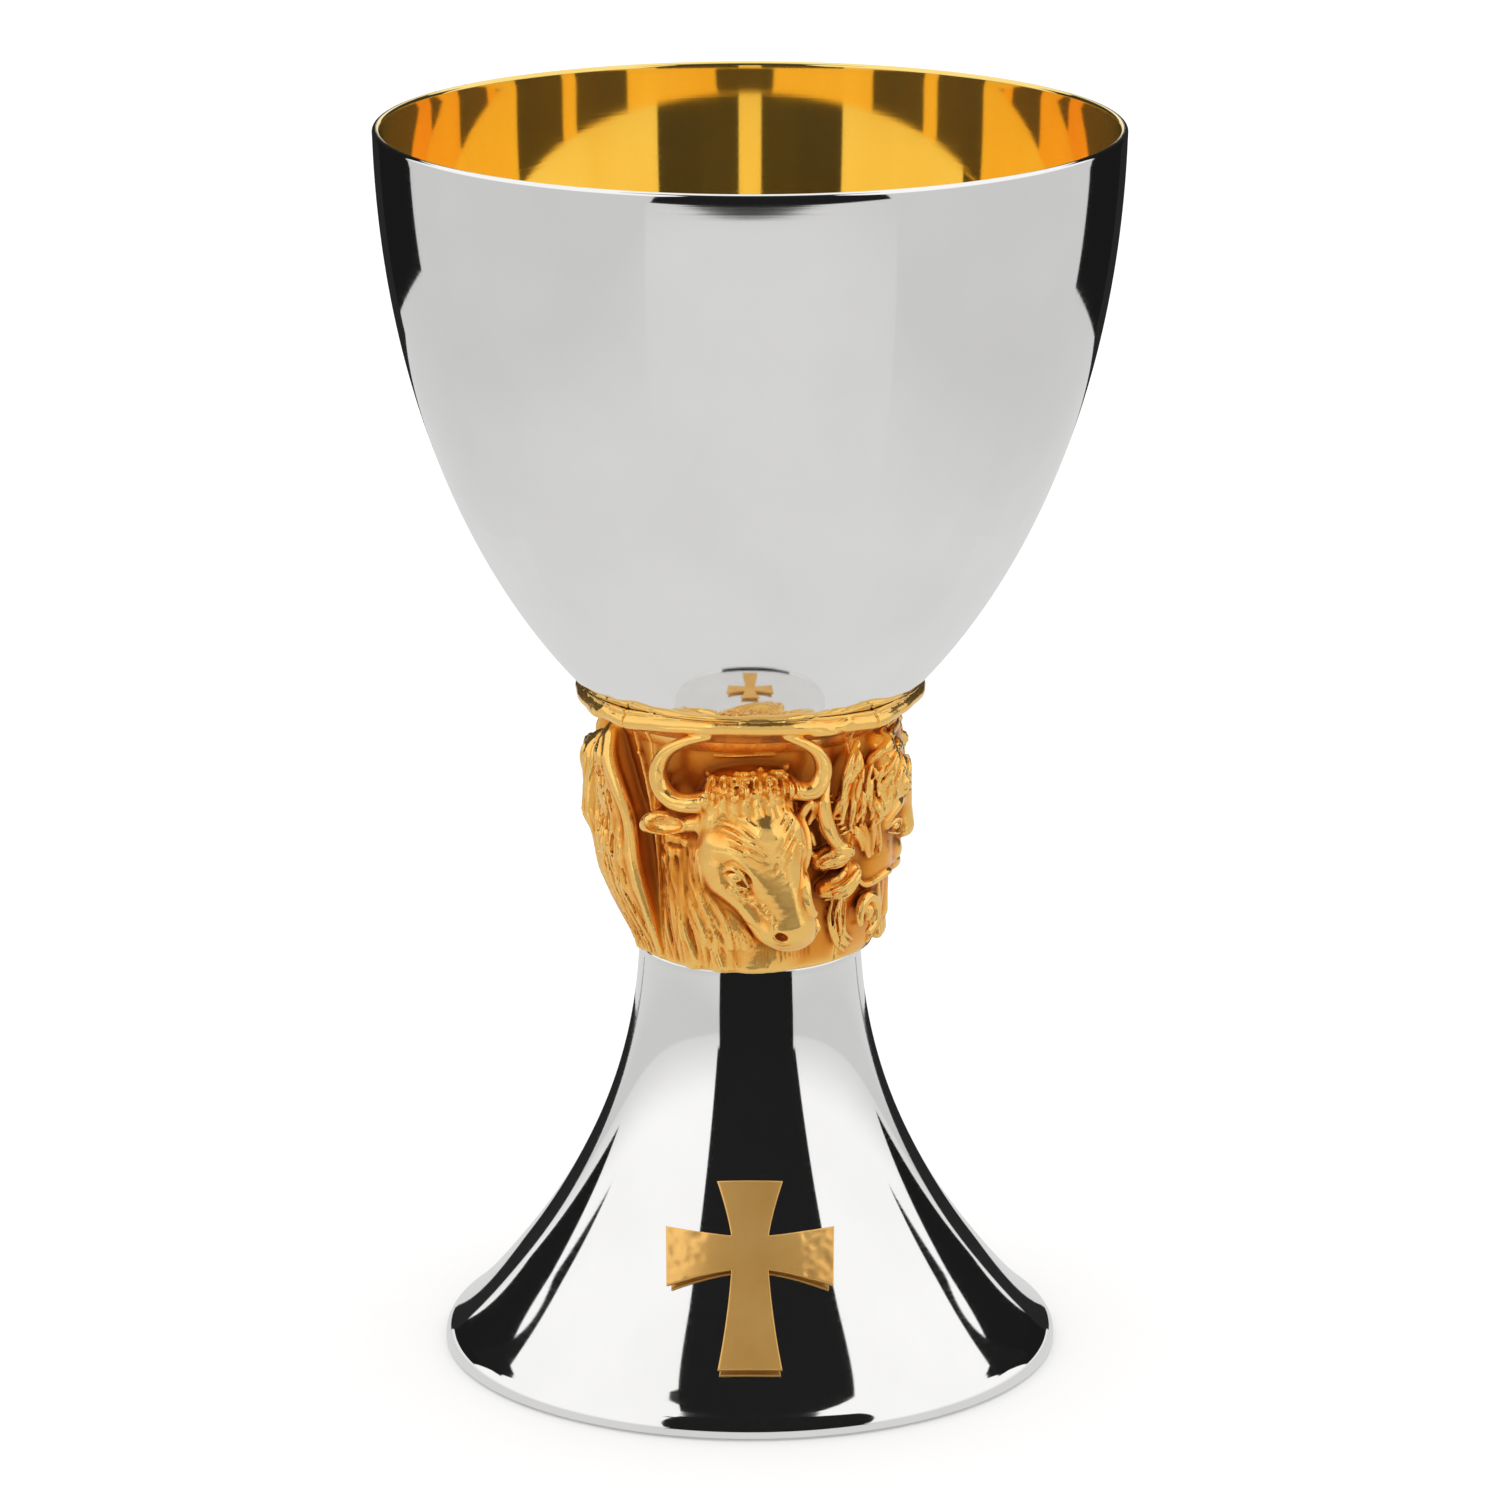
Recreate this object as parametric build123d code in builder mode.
"""A communion chalice: a spun cup on a cast knop of four relief castings, on a spun trumpet foot.

Millimetres, +Z up. The origin is the centre of the foot's resting plane. -Y is the front, where the
ox casting and the applied cross are. One tie rod, brazed under the cup, draws the cup, knop and foot
together against a nut inside the foot.
"""

import os
from math import asin, cos, degrees, radians, sin, tan

from build123d import *

# ---- driving dimensions ----
height = 203.0  # resting plane to lip
rim_radius = 60.0  # outside of the lip
foot_radius = 50.4  # outside of the foot's edge
neck_radius = 18.1  # outside of the foot's neck
knop_base = 68.3  # top of the foot, where the knop stands
knop_top = 112.8  # top of the knop's flange, where the cup sits
wall = 1.2  # gauge of the spun shells

# ---- cup ----
cup_pole = 97.0  # lowest point of the cup, hidden in the knop
cup_pull = 21.0  # how far the floor of the cup stays level
cup_shoulder = (58.6, 134.5)  # where the side would turn if it were straight
lip_round = 0.55

# ---- foot ----
foot_deck = 1.5  # thickness of the foot's closed top
flare_slope = 43.75  # degrees, at the edge
flare_waist = 19.2  # radius at which the neck would meet that slope if both were straight
flare_edge = 49.2  # radius at which the flare turns down into the edge
flare_height = 2.95
edge_arc = (foot_radius - flare_edge) / (1 - sin(radians(flare_slope)))
edge_land = flare_height - edge_arc * cos(radians(flare_slope))
spigot_hole = 7.1
base_ring_width = 4.6
base_ring_height = 1.7

# ---- knop ----
sleeve_radius = 16.0  # inside of the castings
relief_limit = 32.0  # no relief stands out past this radius
horn_radius = 1.5  # at an ox horn's root
seam_gap_deg = 0.12  # solder line between two castings, each side
flange_radius = 28.9
flange_depth = 4.6
flange_land = 1.5  # how far the flange stands outside the line of the cup
wall_radius_low = 19.2  # outside of the plain casting wall at its foot
wall_radius_high = 23.6  # the same, in the hollow under the flange
fit_gap = 0.05  # all round, between brazed or seated pieces

# ---- tie rod and its fastening ----
rod_radius = 4.0
rod_low = 50.5
rod_high = 95.6
thread_gap = 0.03
boss_radius = 8.5
boss_low = 88.5
bridge_radius = 14.6
bridge_thickness = 2.0
washer_thickness = 2.0
nut_across_flats = 13.0
nut_thickness = 6.5

# ---- applied cross ----
cross_centre_height = 24.4
cross_lean = 33.9  # the cross leans back by this from upright
cross_span = 26.0
cross_up = 11.9
cross_down = 19.8
cross_end = 10.1
cross_waist = 5.8
cross_backing_inset = 0.75
cross_layer = 0.85  # thickness of the plate, and of the backing under it
pin_radius = 0.9
pin_head_radius = 1.7
pin_head = 0.7  # thickness of the riveted head inside the foot
pin_places = (cross_up * 0.6, -cross_down * 0.6)  # up the cross from its centre


def cup_outline(gap=0.0):
    """The cup's outside from pole to lip as Bezier poles, moved outward by gap."""
    return [
        (0, cup_pole - gap),
        (cup_pull, cup_pole - gap),
        (cup_shoulder[0] + gap, cup_shoulder[1] - gap),
        (rim_radius + gap, height),
    ]


def flare_outline(rise=0.0):
    """The foot's flare from neck to edge as Bezier poles, moved outward by rise."""
    slope = radians(flare_slope)
    edge, foot_z = flare_edge + rise * sin(slope), flare_height + rise * cos(slope)
    waist = flare_waist + rise
    return [(neck_radius + rise, knop_base), (waist, foot_z + (edge - waist) * tan(slope)), (edge, foot_z)]


def flare_radius(z):
    """Outside radius of the flare at height z, from the same three poles."""
    (r0, z0), (_, z1), (r2, z2) = flare_outline()
    low, high = 0.0, 1.0
    for _ in range(40):
        t = (low + high) / 2
        if (1 - t) ** 2 * z0 + 2 * t * (1 - t) * z1 + t * t * z2 > z:
            low = t
        else:
            high = t
    return r0 + (r2 - r0) * t * t


def finish(name, piece):
    """Labels a finished piece and writes its file."""
    piece.part.label = name
    export_step(piece.part, f"parts/{name}.step")


# ---- cup and boss ----
def make_cup():
    """The spun cup. The inner curve's poles are set so that its wall is even from pole to lip."""
    shoulder_lift, pull_in = wall * 0.6, wall * 0.3
    with BuildPart() as cup:
        with BuildSketch(Plane.XZ):
            with BuildLine():
                Bezier(*cup_outline())
                Line((rim_radius, height), (rim_radius - wall, height))
                Bezier(
                    (rim_radius - wall, height),
                    (cup_shoulder[0] - wall, cup_shoulder[1] + shoulder_lift),
                    (cup_pull - pull_in, cup_pole + wall),
                    (0, cup_pole + wall),
                )
                Line((0, cup_pole + wall), (0, cup_pole))
            make_face()
        revolve(axis=Axis.Z)
        lip = cup.edges().filter_by(GeomType.CIRCLE).group_by(Axis.Z)[-1]
        fillet(lip, radius=lip_round)
    return cup


def cup_envelope():
    """Everything inside the cup's outside, with the fitting gap added."""
    with BuildPart() as envelope:
        with BuildSketch(Plane.XZ):
            with BuildLine():
                Bezier(*cup_outline(fit_gap))
                Polyline((rim_radius + fit_gap, height), (0, height), (0, cup_pole - fit_gap))
            make_face()
        revolve(axis=Axis.Z)
    return envelope.part


def make_boss(envelope):
    with BuildPart() as boss:
        with Locations((0, 0, boss_low)):
            Cylinder(boss_radius, 12, align=(Align.CENTER, Align.CENTER, Align.MIN))
        chamfer(boss.edges().filter_by(GeomType.CIRCLE).group_by(Axis.Z)[0], length=0.8)
        with Locations((0, 0, boss_low)):
            Cylinder(
                rod_radius + thread_gap,
                rod_high - boss_low + 0.4,
                align=(Align.CENTER, Align.CENTER, Align.MIN),
                mode=Mode.SUBTRACT,
            )
        add(envelope, mode=Mode.SUBTRACT)
    return boss


# ---- knop ----
def casting_blank(envelope):
    """The space one casting may fill: a front quarter of a ring with the cup's seat cut in it."""
    with BuildPart() as blank:
        with BuildSketch(Plane.YZ):
            with Locations((-sleeve_radius, knop_base)):
                Rectangle(relief_limit - sleeve_radius, knop_top - knop_base, align=(Align.MAX, Align.MIN))
        revolve(axis=Axis.Z, revolution_arc=90 - 2 * seam_gap_deg)
        add(envelope, mode=Mode.SUBTRACT)
    return blank.part.rotate(Axis.Z, seam_gap_deg - 45)


def casting_wall():
    """The whole knop's plain wall and flange as a ring."""
    low = knop_top - flange_depth
    lip = flange_radius - 0.4
    with BuildPart() as ring:
        with BuildSketch(Plane.XZ):
            with BuildLine():
                Polyline(
                    (sleeve_radius - 1, knop_base),
                    (wall_radius_low - 0.9, knop_base),
                    (wall_radius_low, knop_base + 0.9),
                    (wall_radius_high, low - 4.5),
                    (wall_radius_high + 0.5, low - 1.0),
                    (flange_radius - 2.2, low),
                )
                Bezier(
                    (flange_radius - 2.2, low),
                    (flange_radius, low + 0.2),
                    (flange_radius + 0.2, low + flange_depth * 0.6),
                    (lip, knop_top),
                )
                Polyline(
                    (lip, knop_top),
                    (flange_radius - flange_land, knop_top),
                    (sleeve_radius + 4.5, low - 4.5),
                    (sleeve_radius - 1, low - 12.0),
                    (sleeve_radius - 1, knop_base),
                )
            make_face()
        revolve(axis=Axis.Z)
    return ring.part


def spot(angle, z, radius):
    """The point at an angle from the casting's middle, in degrees, positive to the right."""
    return (radius * sin(radians(angle)), -radius * cos(radians(angle)), z)


def lobe(start, end, start_radius, end_radius):
    """A round bar from start to end, tapering between two balls."""
    along = Vector(*end) - Vector(*start)
    taper = degrees(asin((start_radius - end_radius) / along.length))
    side = Vector(1, 0, 0) if abs(along.normalized().X) < 0.9 else Vector(0, 0, 1)
    plane = Plane(origin=start, x_dir=along, z_dir=along.cross(side))
    with BuildPart() as solid:
        with BuildSketch(plane):
            with BuildLine():
                rear = CenterArc((0, 0), start_radius, 90 - taper, 90 + taper)
                nose = CenterArc((along.length, 0), end_radius, 0, 90 - taper)
                Line(rear @ 0, nose @ 1)
                Line(rear @ 1, nose @ 0)
            make_face()
        revolve(axis=Axis(plane.origin, plane.x_dir))
    return solid.part


def horn(root, bend, tip):
    """A round horn along the arc through three points, tapering to its tip."""
    with BuildPart() as solid:
        with BuildLine() as line:
            ThreePointArc(root, bend, tip)
        with BuildSketch(Plane(origin=root, z_dir=line.line % 0)):
            Circle(horn_radius)
        with BuildSketch(Plane(origin=tip, z_dir=line.line % 1)):
            Circle(horn_radius * 0.6)
        sweep(path=line.line, multisection=True)
    return solid.part


def casting(blank, ring, relief, turn=0.0):
    """A quarter of the ring with relief solids fused on, kept in the blank and turned into place."""
    with BuildPart() as cast:
        add(ring)
        for shape in relief:
            add(shape, rotation=(0, 0, turn))
        add(blank, rotation=(0, 0, turn), mode=Mode.INTERSECT)
    return cast


def make_ox(blank, ring):
    """The ox's head, turned down to its left, with curls on the poll and a wavy neck."""
    relief = [
        lobe(spot(1, 92.5, 20.8), spot(15, 77.5, 23.0), 6.0, 3.7),
        lobe(spot(-14, 95.8, 21.0), spot(15, 95.8, 21.0), 4.2, 4.0),
        lobe(spot(12, 77.2, 24.2), spot(20, 75.8, 24.2), 2.8, 2.6),
    ]
    for side in (-1, 1):
        relief.append(horn(spot(side * 18, 97.4, 22.0), spot(side * 30, 101.8, 25.0), spot(side * 19, 109.4, 27.4)))
        relief.append(lobe(spot(side * 27, 94.2, 22.6), spot(side * 37, 94.8, 22.4), 1.9, 0.9))
    for curl in range(5):
        relief.append(lobe(spot(9 * curl - 18, 98.6, 24.0), spot(9 * curl - 15, 97.0, 25.4), 1.4, 1.0))
    for lock in range(5):
        relief.append(lobe(spot(6 * lock - 39, 89 - 3 * lock, 21.3), spot(6 * lock - 32, 73, 20.2), 1.7, 1.1))
    return casting(blank, ring, relief)


def make_lion(blank, ring):
    """The lion's head, facing straight out of its mane, over its paws."""
    relief = [
        lobe(spot(0, 96.0, 21.0), spot(0, 92.0, 24.0), 7.2, 5.6),
        lobe(spot(0, 88.6, 23.4), spot(0, 87.0, 27.4), 4.2, 2.7),
        lobe(spot(0, 82.2, 23.4), spot(0, 80.8, 26.0), 3.0, 2.2),
    ]
    for side in (-1, 1):
        relief.append(lobe(spot(side * 21, 98.8, 22.4), spot(side * 25, 102.4, 23.4), 2.4, 1.4))
        relief.append(lobe(spot(side * 10, 73.6, 19.6), spot(side * 10, 73.0, 22.4), 2.9, 2.4))
        for lock in range(4):
            top = 97.3 - 5.5 * lock
            relief.append(lobe(spot(side * 22, top - 1, 22.3), spot(side * 31, top - 9.5, 21.2), 2.4, 1.2))
            relief.append(lobe(spot(side * 34, top + 1, 22.2), spot(side * 40, top - 7, 21.2), 2.0, 1.1))
    return casting(blank, ring, relief, turn=90)


def make_winged_man(blank, ring):
    """A long-haired man's head and shoulders between two folded wings."""
    relief = [
        lobe(spot(0, 96.4, 22.0), spot(0, 89.6, 22.8), 6.0, 4.3),
        lobe(spot(-11, 97.8, 20.4), spot(11, 97.8, 20.4), 6.8, 6.6),
        lobe(spot(0, 95.2, 27.3), spot(0, 91.8, 27.7), 0.6, 0.9),
        lobe(spot(-20, 80.2, 19.0), spot(20, 80.2, 19.0), 4.2, 4.0),
    ]
    for side in (-1, 1):
        relief.append(lobe(spot(side * 17, 93.0, 22.2), spot(side * 21, 81.6, 21.4), 2.4, 1.7))
        relief.append(lobe(spot(side * 12, 76.2, 21.6), spot(side * 5, 74.0, 22.2), 1.9, 1.5))
        for quill in range(3):
            angle = side * (29.5 + 5.4 * quill)
            relief.append(lobe(spot(angle, 96 + quill, 22.7), spot(angle, 72.5 + 2 * quill, 19.8), 1.9, 1.3))
    return casting(blank, ring, relief, turn=180)


def make_eagle(blank, ring):
    """The eagle, with its head raised and its wings folded at its sides."""
    relief = [
        lobe(spot(0, 90.0, 20.8), spot(0, 76.0, 19.2), 6.6, 5.2),
        lobe(spot(0, 97.6, 22.2), spot(0, 98.0, 24.6), 4.7, 3.9),
        lobe(spot(0, 97.0, 27.4), spot(0, 94.6, 29.3), 1.5, 0.7),
    ]
    for side in (-1, 1):
        relief.append(lobe(spot(side * 8, 98.8, 26.2), spot(side * 14, 100.0, 25.6), 1.2, 0.8))
        relief.append(lobe(spot(side * 9, 72.4, 20.8), spot(side * 9, 70.8, 23.0), 1.3, 0.9))
        for quill in range(4):
            angle = side * (22 + 6 * quill)
            relief.append(lobe(spot(angle, 96 + quill, 22.8), spot(angle, 71 + 2.5 * quill, 19.9), 2.0, 1.3))
    return casting(blank, ring, relief, turn=270)


def make_sleeve():
    with BuildPart() as sleeve:
        with Locations((0, 0, knop_base + 2.5)):
            Cylinder(
                sleeve_radius - fit_gap,
                24.0,
                align=(Align.CENTER, Align.CENTER, Align.MIN),
            )
            Cylinder(
                sleeve_radius - 1.4,
                24.0,
                align=(Align.CENTER, Align.CENTER, Align.MIN),
                mode=Mode.SUBTRACT,
            )
    return sleeve


def make_floor():
    """The disc that closes the knop, with a spigot that centres it in the foot's top."""
    with BuildPart() as floor:
        with Locations((0, 0, knop_base)):
            Cylinder(
                sleeve_radius - fit_gap,
                2.5,
                align=(Align.CENTER, Align.CENTER, Align.MIN),
            )
            Cylinder(
                spigot_hole - 0.1,
                foot_deck - 0.1,
                align=(Align.CENTER, Align.CENTER, Align.MAX),
            )
        with Locations((0, 0, knop_base + 2.5)):
            Hole(rod_radius + 0.2)
    return floor


# ---- foot ----
def make_foot():
    slope = radians(flare_slope)
    inner = flare_outline(-wall)
    edge_inner = foot_radius - wall
    with BuildPart() as foot:
        with BuildSketch(Plane.XZ):
            with BuildLine():
                Bezier(*flare_outline())
                JernArc(
                    start=(flare_edge, flare_height),
                    tangent=(cos(slope), -sin(slope)),
                    radius=edge_arc,
                    arc_size=flare_slope - 90,
                )
                Polyline((foot_radius, edge_land), (foot_radius, 0), (edge_inner, 0), (edge_inner, edge_land))
                JernArc(
                    start=(edge_inner, edge_land),
                    tangent=(0, 1),
                    radius=edge_arc - wall,
                    arc_size=90 - flare_slope,
                )
                Bezier(*reversed(inner))
                Line(inner[0], (neck_radius, knop_base))
            make_face()
            with Locations((spigot_hole, knop_base)):
                Rectangle(neck_radius - wall / 2 - spigot_hole, foot_deck, align=(Align.MIN, Align.MAX))
        revolve(axis=Axis.Z)
        rims = foot.edges().filter_by(GeomType.CIRCLE).group_by(Axis.Z)[-1]
        fillet(rims.sort_by(SortBy.RADIUS)[-1], radius=0.7)
    return foot


def make_base_ring():
    """The flat ring brazed inside the foot's edge, which it stiffens and weights."""
    outer = foot_radius - wall - fit_gap
    inner = outer - base_ring_width
    with BuildPart() as ring:
        with BuildSketch(Plane.XZ):
            with BuildLine():
                Polyline(
                    (inner, 0),
                    (outer, 0),
                    (outer, edge_land),
                    (outer - 0.9, base_ring_height),
                    (inner, base_ring_height),
                    close=True,
                )
            make_face()
        revolve(axis=Axis.Z)
    return ring


# ---- fastening inside the foot ----
def make_bridge():
    """A dished washer that spreads the nut's pull over the foot's top."""
    top = knop_base - foot_deck
    with BuildPart() as bridge:
        with BuildSketch(Plane.XZ):
            with BuildLine():
                Polyline(
                    (rod_radius + 0.2, top - bridge_thickness),
                    (rod_radius + 0.2, top - 0.3),
                    (spigot_hole + 0.6, top - 0.3),
                    (spigot_hole + 1.2, top),
                    (bridge_radius, top),
                    (bridge_radius, top - 1.3),
                    (bridge_radius - 2.4, top - bridge_thickness),
                    close=True,
                )
            make_face()
        revolve(axis=Axis.Z)
    return bridge


def make_spring_washer():
    top = knop_base - foot_deck - bridge_thickness
    with BuildPart() as washer:
        with Locations((0, 0, top)):
            Cylinder(7.2, washer_thickness, align=(Align.CENTER, Align.CENTER, Align.MAX))
            Cylinder(
                rod_radius + 0.2,
                washer_thickness,
                align=(Align.CENTER, Align.CENTER, Align.MAX),
                mode=Mode.SUBTRACT,
            )
        with Locations(Location((5.8, 0, top - washer_thickness / 2), (25, 0, 0))):
            Box(4.6, 0.8, 2 * washer_thickness, mode=Mode.SUBTRACT)
    return washer


def make_nut():
    top = knop_base - foot_deck - bridge_thickness - washer_thickness
    with BuildPart() as nut:
        with BuildSketch(Plane.XY.offset(top - nut_thickness)):
            RegularPolygon(nut_across_flats / 2, 6, major_radius=False)
        extrude(amount=nut_thickness)
        with BuildSketch(Plane.XZ):
            with BuildLine():
                Polyline(
                    (0, top - nut_thickness),
                    (nut_across_flats / 2, top - nut_thickness),
                    (nut_across_flats / 2 + 1.6, top - nut_thickness + 0.9),
                    (nut_across_flats / 2 + 1.6, top - 0.9),
                    (nut_across_flats / 2, top),
                    (0, top),
                    close=True,
                )
            make_face()
        revolve(axis=Axis.Z, mode=Mode.INTERSECT)
        with Locations((0, 0, top)):
            Hole(rod_radius + thread_gap)
    return nut


def make_rod():
    with BuildPart() as rod:
        with Locations((0, 0, rod_low)):
            Cylinder(
                rod_radius,
                rod_high - rod_low,
                align=(Align.CENTER, Align.CENTER, Align.MIN),
            )
        chamfer(rod.edges().filter_by(GeomType.CIRCLE), length=0.7)
    return rod


# ---- applied cross ----
def cross_plane():
    lean = radians(cross_lean)
    return Plane(
        origin=(0, -flare_radius(cross_centre_height), cross_centre_height),
        x_dir=(1, 0, 0),
        z_dir=(0, -cos(lean), sin(lean)),
    )


def cross_arm(reach, inset):
    """One arm, pointing up, that flares from the crossing in two hollow curves."""
    tip = reach - inset
    half_end, half_waist = cross_end / 2 - inset, cross_waist / 2 - inset
    with BuildSketch() as arm:
        with BuildLine():
            Line((-half_end, tip), (half_end, tip))
            Bezier((half_end, tip), (half_waist + 0.5, tip * 0.55), (half_waist, half_waist))
            Polyline((half_waist, half_waist), (0, 0), (-half_waist, half_waist))
            Bezier((-half_waist, half_waist), (-half_waist - 0.5, tip * 0.55), (-half_end, tip))
        make_face()
    return arm.sketch


def cross_outline(inset):
    """The flared cross, flat, with its crossing at the origin and its edge drawn in by inset."""
    reaches = (cross_up, cross_span / 2, cross_down, cross_span / 2)
    arms = [cross_arm(reach, inset) for reach in reaches]
    with BuildSketch() as cross:
        for turn, arm in enumerate(arms):
            add(arm, rotation=90 * turn)
    return cross.sketch


def foot_band(low, high):
    """A skin that follows the foot's front, from low to high above its surface."""
    lower, upper = flare_outline(low), flare_outline(high)
    with BuildPart() as band:
        with BuildSketch(Plane.XZ):
            with BuildLine():
                Bezier(*lower)
                Line(lower[2], upper[2])
                Bezier(*reversed(upper))
                Line(upper[0], lower[0])
            make_face()
        revolve(axis=Axis.Z)
    return band.part


def make_cross_layer(low, high, inset):
    outline = cross_outline(inset)
    band = foot_band(low, high)
    with BuildPart() as layer:
        with BuildSketch(cross_plane()):
            add(outline)
        extrude(amount=9, both=True)
        add(band, mode=Mode.INTERSECT)
    return layer


def pin_axes():
    """Where each pin meets the foot's surface, and the way it points out."""
    axes = []
    for along in pin_places:
        height_up = cross_plane().from_local_coords((0, along, 0)).Z
        radius = flare_radius(height_up)
        outward = Vector(0, -1, radius - flare_radius(height_up + 1)).normalized()
        axes.append((Vector(0, -radius, height_up), outward))
    return axes


def make_cross_pins():
    """Two pins under the cross, through the foot's wall, each with a riveted head inside."""
    shank = wall + pin_head
    with BuildPart() as pins:
        for surface, outward in pin_axes():
            with BuildSketch(Plane(origin=surface - outward * shank, z_dir=outward)):
                Circle(pin_radius)
            extrude(amount=shank)
            with BuildSketch(Plane(origin=surface - outward * (wall + fit_gap), z_dir=-outward)):
                Circle(pin_head_radius)
            extrude(amount=pin_head, taper=25)
    return pins


def drill_for_pins(foot):
    """The two holes in the foot's wall that the cross's pins pass through."""
    with BuildPart() as drilled:
        add(foot.part)
        for surface, outward in pin_axes():
            with BuildSketch(Plane(origin=surface - outward * 3 * wall, z_dir=outward)):
                Circle(pin_radius + fit_gap)
            extrude(amount=5 * wall, mode=Mode.SUBTRACT)
    return drilled


os.makedirs("parts", exist_ok=True)
envelope = cup_envelope()
blank = casting_blank(envelope)
ring = casting_wall()

finish("cup", make_cup())
finish("cup_boss", make_boss(envelope))
finish("ox_casting", make_ox(blank, ring))
finish("lion_casting", make_lion(blank, ring))
finish("winged_man_casting", make_winged_man(blank, ring))
finish("eagle_casting", make_eagle(blank, ring))
finish("knop_sleeve", make_sleeve())
finish("knop_floor", make_floor())
finish("foot", drill_for_pins(make_foot()))
finish("base_ring", make_base_ring())
finish("bridge_washer", make_bridge())
finish("spring_washer", make_spring_washer())
finish("tie_nut", make_nut())
finish("tie_rod", make_rod())
finish("cross_backing", make_cross_layer(fit_gap, cross_layer, cross_backing_inset))
finish("cross_plate", make_cross_layer(cross_layer, 2 * cross_layer, 0))
finish("cross_pins", make_cross_pins())
